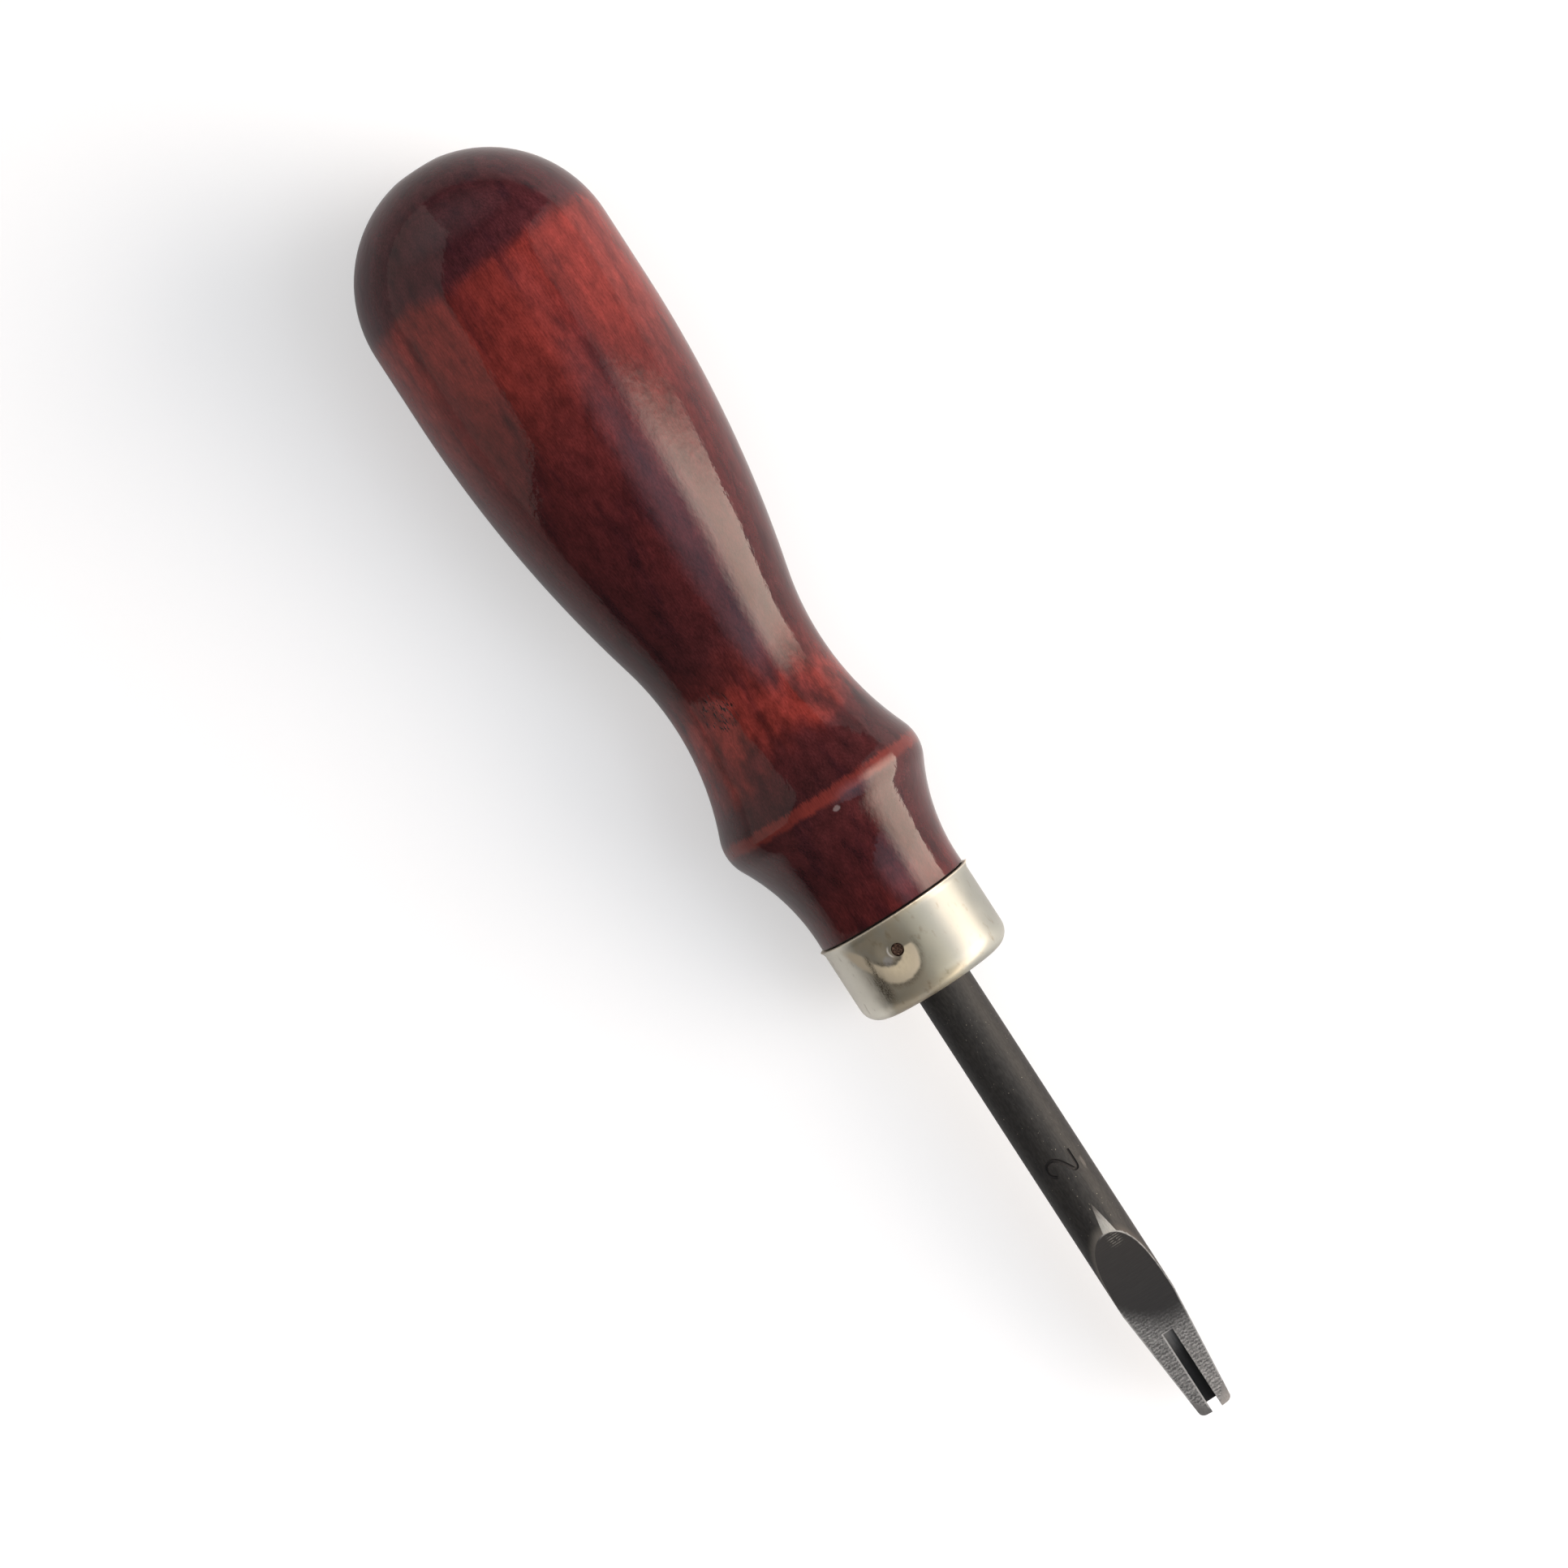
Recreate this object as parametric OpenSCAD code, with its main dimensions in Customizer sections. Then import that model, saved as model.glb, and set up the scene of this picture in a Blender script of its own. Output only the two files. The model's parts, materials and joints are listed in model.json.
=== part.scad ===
// Leather edge beveler: a turned hardwood handle, a pressed ferrule pinned by one
// brad, and a round steel blade that ends in a forked cutting tip.
// In the tool's own frame X runs along its axis, from the butt at 0 to the toes, and
// the scooped face of the blade looks up. The finished tool lies on a bench, on its
// bulb and its ridge, with its middle over the origin.

/* [Handle] */
// Largest diameter, at the bulb
bulb_d = 27.2; // [26:0.02:29]
// Depth of the flat that ends the rounded butt
butt_trim = 0.35; // [0.1:0.01:0.8]
// Straight length of the bulb, after the rounded butt
barrel_l = 7.65; // [4:0.05:14]
// Radius of the long curve from the bulb towards the waist
swell_arc_r = 130.65; // [110:0.05:170]
// Diameter of the waist
waist_d = 17.28; // [16:0.02:19]
// Radius of the hollow curve through the waist
waist_arc_r = 30.55; // [25:0.05:38]
// Diameter over the ridge between waist and neck
ridge_d = 22.694; // [21.5:0.002:24.5]
// Radius of the rounding on the ridge
ridge_round_r = 4.641; // [3:0.001:6]
// Radius of the hollow curve from the ridge to the neck
cove_arc_r = 21.165; // [17:0.005:26]
// Diameter of the neck at its thinnest
neck_d = 16.622; // [16.3:0.002:17.6]
// Length of the neck from its thinnest point to the shoulder
neck_l = 0.85; // [0.4:0.05:2.5]
// Chamfer round the end of the tenon, inside the ferrule
tenon_chamfer = 1.6; // [1.2:0.1:3]

/* [Ferrule] */
// Outside diameter
ferrule_d = 16.84; // [16.2:0.02:17.4]
// Length from the rim to the end face
ferrule_l = 9.05; // [8:0.05:14]
// Thickness of the pressed sheet
ferrule_wall = 0.5; // [0.35:0.05:0.8]
// Outside radius of the corner round the end face
ferrule_corner_r = 2; // [1.2:0.1:3]
// Length of the flared lip at the rim
lip_l = 0.6; // [0.3:0.05:1.2]
// How far the lip flares outwards
lip_flare = 0.24; // [0.1:0.02:0.5]
// Open gap between the handle's shoulder and the rim
rim_gap = 0.25; // [0.1:0.05:0.6]
// Clearance between the tenon and the inside of the ferrule
tenon_clear = 0.03; // [0.01:0.01:0.1]

/* [Brad] */
// Diameter of the brad that pins the ferrule
brad_d = 1.3; // [0.9:0.1:2]
// Length of the brad
brad_l = 3.6; // [2:0.1:4.2]
// Length of the brad's point
brad_point_l = 1; // [0.5:0.1:1.8]
// Chamfer round the brad's upper end
brad_chamfer = 0.1; // [0.05:0.05:0.3]
// How far the brad is set below the bottom of the dent
brad_sink = 0.1; // [0:0.05:0.3]
// Clearance round the brad
brad_clear = 0.03; // [0.01:0.01:0.1]
// Distance from the rim to the dent round the brad
dent_from_rim = 3.2; // [2.8:0.1:6]
// Turn of the dent round the ferrule, from the top
dent_turn = 14; // [0:1:60]
// Depth of the dent
dent_depth = 0.28; // [0.1:0.02:0.4]
// Radius of the round-nosed set that made the dent
dent_r = 11; // [7:0.5:14]

/* [Blade] */
// Diameter of the round shank
shank_d = 6; // [5.8:0.1:7]
// Length of the blade beyond the ferrule
blade_l = 51.44; // [45:0.01:70]
// Length of the square tapered tang inside the handle
tang_l = 40; // [25:0.5:55]
// Width of the tang at the shank's shoulder
tang_w = 3.6; // [2.8:0.1:3.8]
// Width of the tang at its end
tang_end_w = 2; // [1.5:0.1:2.6]
// Clearance of the tang in the handle and in the ferrule
tang_clear = 0.03; // [0.01:0.01:0.1]

/* [Forked tip] */
// Height of the ground flat above the axis
flat_h = 0.5; // [0.1:0.05:1]
// Radius of the scoop
scoop_r = 20; // [14:0.5:30]
// Distance from the toes back to the lowest line of the scoop
scoop_back = 11.85; // [10:0.05:16]
// How far the scoop dips below the flat
scoop_dip = 0.05; // [0.02:0.01:0.2]
// Length of the facet that eases the upper lip of the scoop
lip_facet_l = 2.9; // [1.5:0.1:5]
// Slope of that facet
lip_facet_slope = 2.2; // [1:0.1:5]
// Roll of that facet towards the left side, seen from the butt
lip_facet_roll = 9; // [0:1:20]
// Length of the tapered fork
fork_l = 13; // [10:0.1:18]
// Width across the toes at their ends
fork_w = 3.6; // [3:0.05:4.5]
// Radius of the toes' outer corners, seen from above
toe_round_r = 0.6; // [0.3:0.05:1]
// Length of the bevel on each toe, along its outer edge
toe_bevel_l = 2.25; // [1:0.05:3]
// Turn of that bevel away from square across the toe
toe_bevel_turn = 53; // [20:1:60]
// Tilt of that bevel
toe_bevel_tilt = 25; // [10:1:35]
// Width of the slot between the toes
slot_w = 1.15; // [0.8:0.05:2]
// Length of the slot
slot_l = 9.35; // [7:0.05:12]
// Depth of the slot at its closed end
slot_depth = 0.35; // [0.1:0.05:0.8]
// How far the cutting edge lies behind the toes' ends
edge_back = 0.85; // [0.4:0.05:1.5]
// Thickness left at the cutting edge
edge_land = 0.06; // [0.03:0.01:0.2]
// Radius of the curved sole
sole_r = 80; // [60:1:120]
// Thickness of the toes at their ends
toe_t = 1.55; // [1.2:0.05:2]
// Depth below the shank of the sole's lowest line
sole_drop = 0.1; // [0.05:0.01:0.2]

/* [Hidden] */
$fn = 96;

// How far a cutter reaches past what it cuts
over = 1;
// How far the toes' corner arcs reach past their edges, so that they cross cleanly
corner_over = 0.01;

bulb_r = bulb_d / 2;
waist_r = waist_d / 2;
ridge_r = ridge_d / 2;
neck_r = neck_d / 2;
shank_r = shank_d / 2;

// Step along the axis between two arcs that touch, from their radii and their drop
function arc_step(sum_r, drop) = sqrt(pow(sum_r, 2) - pow(sum_r - drop, 2));

// Stations of the handle's arcs, and of the points where each runs into the next
dome_s = bulb_r - butt_trim;
swell_s = dome_s + barrel_l;
swell_sum = swell_arc_r + waist_arc_r;
swell_step = arc_step(swell_sum, bulb_r - waist_r);
waist_s = swell_s + swell_step;
ridge_sum = waist_arc_r + ridge_round_r;
ridge_step = arc_step(ridge_sum, ridge_r - waist_r);
ridge_s = waist_s + ridge_step;
cove_sum = ridge_round_r + cove_arc_r;
cove_step = arc_step(cove_sum, ridge_r - neck_r);
neck_s = ridge_s + cove_step;
waist_from = swell_s + swell_step * swell_arc_r / swell_sum;
ridge_from = waist_s + ridge_step * waist_arc_r / ridge_sum;
cove_from = ridge_s + cove_step * ridge_round_r / cove_sum;
shoulder_s = neck_s + neck_l;

ferrule_r = ferrule_d / 2;
ferrule_in_r = ferrule_r - ferrule_wall;
rim_s = shoulder_s + rim_gap;
ferrule_end_s = rim_s + ferrule_l;
ferrule_floor_s = ferrule_end_s - ferrule_wall;
tenon_r = ferrule_in_r - tenon_clear;
tenon_end_s = ferrule_floor_s - tenon_clear;
dent_s = rim_s + dent_from_rim;
brad_top_r = ferrule_r - dent_depth - brad_sink;

tip_s = ferrule_end_s + blade_l;
tang_end_s = ferrule_end_s - tang_l;
ferrule_hole_r = tang_w / sqrt(2) + tang_clear;
scoop_s = tip_s - scoop_back;
lip_facet_s = scoop_s - arc_step(scoop_r, shank_r - flat_h + scoop_dip) - lip_facet_l;
fork_s = tip_s - fork_l;
fork_slope = (shank_r - fork_w / 2) / fork_l;
slot_s = tip_s - slot_l;
edge_s = tip_s - edge_back;
sole_low = -shank_r - sole_drop;
sole_s = tip_s - arc_step(sole_r, flat_h - toe_t - sole_low);
edge_h = sole_low + sole_r - sqrt(pow(sole_r, 2) - pow(edge_s - sole_s, 2)) + edge_land;

// The tool leans on the swell and on the ridge, so a line that touches both is the bench
lean_a = ridge_s - swell_s;
lean_b = (ridge_r - ridge_round_r) - (bulb_r - swell_arc_r);
lay_angle = atan2(lean_a, lean_b) - acos((swell_arc_r - ridge_round_r) / norm([lean_a, lean_b]));
lay_h = swell_s * sin(lay_angle) + (bulb_r - swell_arc_r) * cos(lay_angle) + swell_arc_r;
butt_flat_r = arc_step(bulb_r, butt_trim);
lay_back = (tip_s * cos(lay_angle) + (flat_h - butt_flat_r) * sin(lay_angle)) / 2;

// Lays what is drawn in the tool's own frame on the bench
module lay() {
    translate([-lay_back, 0, lay_h]) rotate([0, lay_angle, 0]) children();
}

// Turns an outline round the tool's axis: its x is a radius and its y a station
module turned() {
    rotate([0, 90, 0]) rotate_extrude() children();
}

// Raises an outline in x and z across the tool, to the width given
module across(width) {
    rotate([90, 0, 0]) linear_extrude(height = width, center = true) children();
}

// Half of a round bar between two stations
module bar(from_s, to_s, r) {
    polygon([[0, from_s], [r, from_s], [r, to_s], [0, to_s]]);
}

// A bar hollowed by an arc whose deepest point is at radius r
module hollow(from_s, to_s, r, arc_r, arc_s) {
    difference() {
        bar(from_s, to_s, bulb_d);
        translate([r + arc_r, arc_s]) circle(arc_r);
    }
}

// A bar swelled by an arc whose highest point is at radius r
module swelled(from_s, to_s, r, arc_r, arc_s) {
    intersection() {
        bar(from_s, to_s, bulb_d);
        union() {
            translate([r - arc_r, arc_s]) circle(arc_r);
            if (r > arc_r) bar(from_s, to_s, r - arc_r);
        }
    }
}

// Half of the handle's outline
module handle_outline() {
    swelled(0, dome_s, bulb_r, bulb_r, dome_s);
    bar(dome_s, swell_s, bulb_r);
    swelled(swell_s, waist_from, bulb_r, swell_arc_r, swell_s);
    hollow(waist_from, ridge_from, waist_r, waist_arc_r, waist_s);
    swelled(ridge_from, cove_from, ridge_r, ridge_round_r, ridge_s);
    hollow(cove_from, shoulder_s, neck_r, cove_arc_r, neck_s);
    polygon([
        [0, shoulder_s], [tenon_r, shoulder_s], [tenon_r, tenon_end_s - tenon_chamfer],
        [tenon_r - tenon_chamfer, tenon_end_s], [0, tenon_end_s]
    ]);
}

// Half of a cup with a rounded bottom corner
module cup_outline(from_s, end_s, r, corner_r) {
    bar(from_s, end_s - corner_r, r);
    bar(end_s - corner_r, end_s, r - corner_r);
    intersection() {
        translate([r - corner_r, end_s - corner_r]) circle(corner_r);
        translate([r - corner_r, end_s - corner_r]) square(corner_r);
    }
}

// Half of the solid that the ferrule would be without its hollow, or of that hollow
module ferrule_outline(r, end_s, corner_r) {
    cup_outline(rim_s + lip_l, end_s, r, corner_r);
    polygon([[0, rim_s], [r + lip_flare, rim_s], [r, rim_s + lip_l], [0, rim_s + lip_l]]);
}

// Places what points up at the dent, square to the ferrule, with the axis at height 0
module at_dent() {
    translate([dent_s, 0, 0]) rotate([dent_turn, 0, 0]) children();
}

// The round nose that dents the ferrule, grown by the depth of sheet under it
module dent_nose(grow) {
    at_dent() translate([0, 0, ferrule_r - dent_depth + dent_r]) sphere(dent_r + grow);
}

// The hole for the brad, from outside the ferrule to the depth given below its point
module brad_hole(below) {
    at_dent() translate([0, 0, brad_top_r - brad_l - below])
        cylinder(d = brad_d + 2 * brad_clear, h = brad_l + below + ferrule_d);
}

// Square tapered tang, grown all round by a clearance and longer by an end gap; its root
// reaches into the shank
module tang_body(grow, end_gap) {
    taper = (tang_w - tang_end_w) / 2 / tang_l;
    root_s = ferrule_end_s + over;
    root_w = tang_w / 2 + grow + taper * over;
    end_s = tang_end_s - end_gap;
    end_w = tang_end_w / 2 + grow - taper * end_gap;
    intersection_for(turn = [0, 90]) {
        rotate([turn, 0, 0]) linear_extrude(height = shank_d * 2, center = true)
            polygon([[end_s, -end_w], [root_s, -root_w], [root_s, root_w], [end_s, end_w]]);
    }
}

module handle() {
    color([0.36, 0.11, 0.09]) lay() difference() {
        turned() handle_outline();
        dent_nose(ferrule_wall + tenon_clear);
        brad_hole(brad_point_l / 2);
        tang_body(tang_clear, over / 2);
    }
}

module ferrule() {
    color([0.75, 0.72, 0.65]) lay() difference() {
        turned() ferrule_outline(ferrule_r, ferrule_end_s, ferrule_corner_r);
        difference() {
            turned() ferrule_outline(ferrule_in_r, ferrule_floor_s, ferrule_corner_r - ferrule_wall);
            dent_nose(ferrule_wall);
        }
        dent_nose(0);
        brad_hole(0);
        translate([ferrule_floor_s - over, 0, 0]) rotate([0, 90, 0])
            cylinder(r = ferrule_hole_r, h = ferrule_wall + 2 * over);
    }
}

module ferrule_brad() {
    color([0.36, 0.27, 0.22]) lay() at_dent() translate([0, 0, brad_top_r - brad_l])
        rotate_extrude() polygon([
            [0, 0], [brad_d / 2, brad_point_l], [brad_d / 2, brad_l - brad_chamfer],
            [brad_d / 2 - brad_chamfer, brad_l], [0, brad_l]
        ]);
}

// Cuts the scoop and the flat in front of it
module scoop_cut() {
    across(shank_d * 2) {
        translate([scoop_s, flat_h - scoop_dip + scoop_r]) circle(scoop_r);
        translate([scoop_s, flat_h]) square([scoop_back + over, shank_d]);
    }
}

// Cuts the small facet at the upper lip of the scoop
module lip_facet_cut() {
    translate([lip_facet_s, 0, 0]) rotate([-lip_facet_roll, 0, 0])
        translate([0, 0, shank_r]) rotate([0, lip_facet_slope, 0])
        translate([-over, -shank_r, 0]) cube([lip_facet_l + 2 * over, shank_d, over]);
}

// Cuts one flank of the fork, with the round at its toe's outer corner
module flank_cut() {
    corner_s = tip_s - toe_round_r + corner_over;
    corner_w = fork_w / 2 + fork_slope * (tip_s - corner_s) - toe_round_r + corner_over;
    linear_extrude(height = shank_d * 2, center = true) {
        polygon([
            [fork_s - fork_l, shank_r + fork_slope * fork_l], [tip_s + over, fork_w / 2 - fork_slope * over],
            [tip_s + over, shank_d], [fork_s - fork_l, shank_d]
        ]);
        translate([corner_s, corner_w]) difference() {
            square(shank_r);
            circle(toe_round_r);
        }
    }
}

// Cuts the bevel on one toe, along a line from its outer edge to the slot
module toe_bevel_cut() {
    bevel_s = tip_s - toe_bevel_l;
    translate([bevel_s, fork_w / 2 + fork_slope * toe_bevel_l, flat_h])
        rotate([0, 0, toe_bevel_turn]) rotate([0, toe_bevel_tilt, 0])
        translate([0, -shank_d, 0]) cube([shank_d, shank_d * 2, shank_r]);
}

// Cuts the slot: a floor that slopes down to the cutting edge, and a way through in front of it
module slot_cut() {
    across(slot_w) polygon([
        [slot_s, shank_d], [slot_s, flat_h - slot_depth], [edge_s, edge_h],
        [edge_s, -shank_d], [tip_s + over, -shank_d], [tip_s + over, shank_d]
    ]);
}

// Cuts the curved sole under the tip
module sole_cut() {
    across(shank_d * 2) difference() {
        polygon([
            [sole_s, 2 * sole_low], [tip_s + over, 2 * sole_low], [tip_s + over, flat_h], [sole_s, flat_h]
        ]);
        translate([sole_s, sole_low + sole_r]) circle(sole_r);
    }
}

module blade() {
    color([0.19, 0.19, 0.19]) lay() {
        difference() {
            translate([ferrule_end_s, 0, 0]) rotate([0, 90, 0]) cylinder(r = shank_r, h = blade_l);
            scoop_cut();
            lip_facet_cut();
            for (side = [0, 1]) mirror([0, side, 0]) {
                flank_cut();
                toe_bevel_cut();
            }
            slot_cut();
            sole_cut();
        }
        tang_body(0, 0);
    }
}

handle();
ferrule();
ferrule_brad();
blade();
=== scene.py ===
import bmesh
import bpy
import json
import math
from mathutils import Matrix, Vector


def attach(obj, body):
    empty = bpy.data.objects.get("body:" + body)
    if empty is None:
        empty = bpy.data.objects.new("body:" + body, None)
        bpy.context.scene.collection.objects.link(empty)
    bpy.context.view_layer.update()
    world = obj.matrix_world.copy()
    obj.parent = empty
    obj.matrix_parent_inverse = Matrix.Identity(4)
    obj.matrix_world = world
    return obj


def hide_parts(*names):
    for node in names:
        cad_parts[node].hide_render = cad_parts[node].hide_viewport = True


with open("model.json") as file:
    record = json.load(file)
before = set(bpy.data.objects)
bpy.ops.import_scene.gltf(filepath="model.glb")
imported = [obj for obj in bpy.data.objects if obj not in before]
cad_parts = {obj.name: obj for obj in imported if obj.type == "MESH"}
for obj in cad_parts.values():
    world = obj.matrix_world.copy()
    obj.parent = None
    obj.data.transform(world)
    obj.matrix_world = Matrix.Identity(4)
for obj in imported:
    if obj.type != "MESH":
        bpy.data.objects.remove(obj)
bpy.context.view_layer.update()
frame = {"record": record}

# Every piece is modelled in millimetres in the tool's own frame: X runs along the axis from the
# butt, and the scooped face of the blade looks up. It is then laid on the bench.
# In the names, _s is a station on the axis, _r a radius, _h a height above the axis, _l a length
# and _w a width. A spot is a station and a place across, on the upper side.
mm_per_m = 1000
mounts = {mount["name"]: mount for mount in frame["record"]["mounts"]}
tool_axis = Vector(mounts["shank"]["axis"])
butt_place = Vector(mounts["butt"]["pos_m"])
lay_angle = math.atan2(-tool_axis.z, tool_axis.x)
lay_turn = Matrix.Rotation(lay_angle, 4, "Y")
laid = Matrix.Translation(butt_place) @ lay_turn @ Matrix.Scale(1 / mm_per_m, 4)

# Handle: radii, and stations where one curve runs into the next
bulb_r = 13.6
waist_r = 8.64
ridge_r = 11.347
neck_r = 8.311
butt_ring_r = 1.5
dome_s = 13.25
swell_s = 20.9
swell_arc_r = 130.65
waist_from_s = 53.06
waist_s = 60.58
waist_arc_r = 30.55
ridge_from_s = 72.33
ridge_s = 74.115
ridge_round_r = 4.641
cove_from_s = 76.299
cove_arc_r = 21.165
neck_s = 86.259
shoulder_s = 87.27
shoulder_break_l = 0.12
shoulder_break_r = 0.1
tenon_r = 7.89
tenon_ring_r = 4
tenon_end_s = 95.879
tenon_chamfer = 1.6
socket_gap = 0.03

# The handle's finish: the run of its stain, the lighter waist, a dark patch, pores and a chip
stain_ramp_l = 100.0
light_from_s = 59.5
light_mid_s = 64.8
light_to_s = 70.5
shade_spot = (22.5, -9.6)
pore_spot = (61.3, -4.1)
chip_spot = (75.35, 0.55)

# Ferrule and brad
rim_s = 87.359
ferrule_end_s = 96.409
ferrule_r = 8.42
ferrule_wall = 0.5
ferrule_corner_r = 2.0
ferrule_hole_r = 2.576
lip_l = 0.6
lip_flare = 0.24
lip_bend_l = 0.3
lip_bend_r = 0.08
rim_round_l = 0.05
rim_round_r = 0.06
dent_s = 90.559
dent_turn = math.radians(14)
dent_depth = 0.28
dent_reach = 2.6
dimple_s = dent_s - 0.3
dimple_turn = dent_turn + 1.0 / ferrule_r
dimple_depth = 0.24
dimple_reach = 1.6
burr_turn = math.radians(-80)
burr_l = 0.2
burr_reach = 0.9
brad_r = 0.65
brad_l = 3.6
brad_point_l = 1
brad_mid_s = 2
brad_chamfer = 0.1
brad_sunk = 0.14
brad_ring_depth = 0.06
brad_ring_r = 0.4
brad_ring_floor_r = 0.32
brad_knob_floor_r = 0.16
brad_knob_r = 0.1
brad_hole_r = 0.68
brad_hole_l = 4

# Painted light and shade on the ferrule: brighter towards its corner, and darker on the round past it
corner_light_from_s = 92.5
corner_light_to_s = 95.0
corner_shade_from_s = 95.5
corner_shade_to_s = 96.3

# Blade
shank_r = 3.0
tip_s = 147.849
tang_end_s = 56.409
tang_w = 3.6
tang_end_w = 2.0
tang_root_l = 1
flat_h = 0.5
scoop_s = 135.999
scoop_r = 20.0
scoop_dip = 0.05
facet_s = 122.75
facet_l = 3.5
facet_round_r = 89.0
facet_roll = math.radians(9)
fork_s = 134.849
fork_w = 3.6
fork_slope = (shank_r - fork_w / 2) / (tip_s - fork_s)
toe_round_r = 0.6
toe_bevel_l = 2.25
toe_bevel_turn = math.radians(53)
toe_bevel_tilt = math.radians(25)
slot_w = 1.15
slot_s = 138.499
slot_depth = 0.35
slot_past_l = 0.2
edge_s = 146.999
edge_h = -1.18135
sole_s = 129.855
sole_r = 80.0
sole_low = -3.1
sole_roller_w = 20
digit_s = 118.15
digit_y = -0.17
digit_stroke_r = 0.2
digit_lift = 0.03
digit_voxel = 0.035

# Marks in the blade's finish: wear round the scoop, and what the grinding wheel left
wear_from_s = 120
wear_to_s = 138
grey_from_s = 136.6
rib_pitch = 0.37
tick_pitch = 0.26
tick_from_s = 126.7
tick_to_s = 128.0

# How far cutters reach sideways and up, down, and past the end of what they cut
cutter_reach = 6
cutter_low = -8
cutter_past = 1

# Points nearer to each other than this are the same point
same_point = 0.001

# The two sides of a circle that an outline can follow
outer = 1
inner = -1


# Modelling by hand

def let_go():
    """Leaves edit mode and deselects everything."""
    if bpy.context.object and bpy.context.object.mode != "OBJECT":
        bpy.ops.object.mode_set(mode="OBJECT")
    bpy.ops.object.select_all(action="DESELECT")


def work_on(piece):
    """Makes a piece the only one that is selected, and the active one."""
    let_go()
    piece.select_set(True)
    bpy.context.view_layer.objects.active = piece


def added(name):
    """Names the object that was just added, and its data."""
    piece = bpy.context.object
    piece.name = name
    piece.data.name = name
    return piece


def settled(piece):
    """Puts the place, turn and size of the selected piece into its mesh."""
    bpy.ops.object.transform_apply(location=True, rotation=True, scale=True)
    return piece


def pick(piece, kind, test):
    """Enters edit mode with only those vertices, edges or faces selected that pass a test."""
    work_on(piece)
    bpy.ops.object.mode_set(mode="EDIT")
    bpy.ops.mesh.select_mode(type=kind)
    bpy.ops.mesh.select_all(action="DESELECT")
    mesh = bmesh.from_edit_mesh(piece.data)
    members = {"VERT": mesh.verts, "EDGE": mesh.edges, "FACE": mesh.faces}[kind]
    for member in members:
        member.select_set(test(member))
    mesh.select_flush_mode()
    bmesh.update_edit_mesh(piece.data)


def arc(centre_s, centre_r, radius, from_s, to_s, side, steps):
    """Points between two stations on the outer or the inner side of a circle."""
    first = math.asin((from_s - centre_s) / radius)
    last = math.asin((to_s - centre_s) / radius)
    turns = [first + (last - first) * i / steps for i in range(steps + 1)]
    return [(centre_s + radius * math.sin(t), centre_r + side * radius * math.cos(t)) for t in turns]


def line(first, last, steps):
    """Evenly spaced points from one point to another."""
    return [tuple(Vector(first).lerp(Vector(last), i / steps)) for i in range(steps + 1)]


def joined(*stretches):
    """One outline out of several stretches, without the points that two of them share."""
    outline = []
    for point in (point for stretch in stretches for point in stretch):
        if not outline or (Vector(point) - Vector(outline[-1])).length > same_point:
            outline.append(point)
    return outline


def turned(name, outline, steps):
    """Turns an outline of stations and radii round the axis, as on a lathe."""
    let_go()
    bpy.ops.mesh.primitive_plane_add(size=1)
    piece = added(name)
    bpy.ops.object.mode_set(mode="EDIT")
    bpy.ops.mesh.merge(type="CENTER")
    bpy.ops.transform.translate(value=(outline[0][0], 0, outline[0][1]))
    for (from_s, from_r), (to_s, to_r) in zip(outline, outline[1:]):
        move = {"value": (to_s - from_s, 0, to_r - from_r)}
        bpy.ops.mesh.extrude_region_move(TRANSFORM_OT_translate=move)
    bpy.ops.mesh.select_all(action="SELECT")
    bpy.ops.mesh.spin(steps=steps, angle=math.tau, center=(0, 0, 0), axis=(1, 0, 0))
    bpy.ops.mesh.select_all(action="SELECT")
    bpy.ops.mesh.remove_doubles(threshold=same_point / 2)
    bpy.ops.mesh.normals_make_consistent(inside=False)
    bpy.ops.object.mode_set(mode="OBJECT")
    return piece


def box(name, low, high):
    """A box between two corners."""
    let_go()
    middle = (Vector(low) + Vector(high)) / 2
    bpy.ops.mesh.primitive_cube_add(size=1, location=middle, scale=Vector(high) - Vector(low))
    return settled(added(name))


def bar(name, radius, length, middle, rotation, sides):
    """A round bar, upright until it is turned."""
    let_go()
    bpy.ops.mesh.primitive_cylinder_add(
        vertices=sides, radius=radius, depth=length, location=middle, rotation=rotation
    )
    return settled(added(name))


def roller(name, radius, s, height, width, sides):
    """A round bar that lies across the tool."""
    return bar(name, radius, width, (s, 0, height), (math.pi / 2, 0, 0), sides)


def moved(piece, placement):
    """Puts a piece in place, with its place in its mesh."""
    work_on(piece)
    piece.matrix_world = placement
    return settled(piece)


def finished(piece, finish):
    """Gives all of a piece one finish."""
    piece.data.materials.clear()
    piece.data.materials.append(finish)
    return piece


def carve(piece, cutter, how="DIFFERENCE"):
    """Cuts a piece with another, which is used up; the cut has the cutter's finish."""
    work_on(piece)
    cut = piece.modifiers.new("cut", "BOOLEAN")
    cut.object = cutter
    cut.operation = how
    cut.solver = "EXACT"
    cut.material_mode = "TRANSFER"
    bpy.ops.object.modifier_apply(modifier=cut.name)
    work_on(cutter)
    bpy.ops.object.delete()


def smoothed(piece, degrees):
    """Shades a piece smooth, apart from edges sharper than an angle."""
    work_on(piece)
    bpy.ops.object.shade_smooth_by_angle(angle=math.radians(degrees))


def set_down(piece, node):
    """Lays a piece on the bench, in place of its CAD node."""
    moved(piece, laid)
    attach(piece, "root")
    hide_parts(node)


# Nodes

def plug(tree, node, sockets):
    """Sets a node's input sockets, or links them to the outputs of other nodes."""
    for name, value in sockets.items():
        if isinstance(value, bpy.types.NodeSocket):
            tree.links.new(value, node.inputs[name])
        else:
            node.inputs[name].default_value = value


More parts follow.
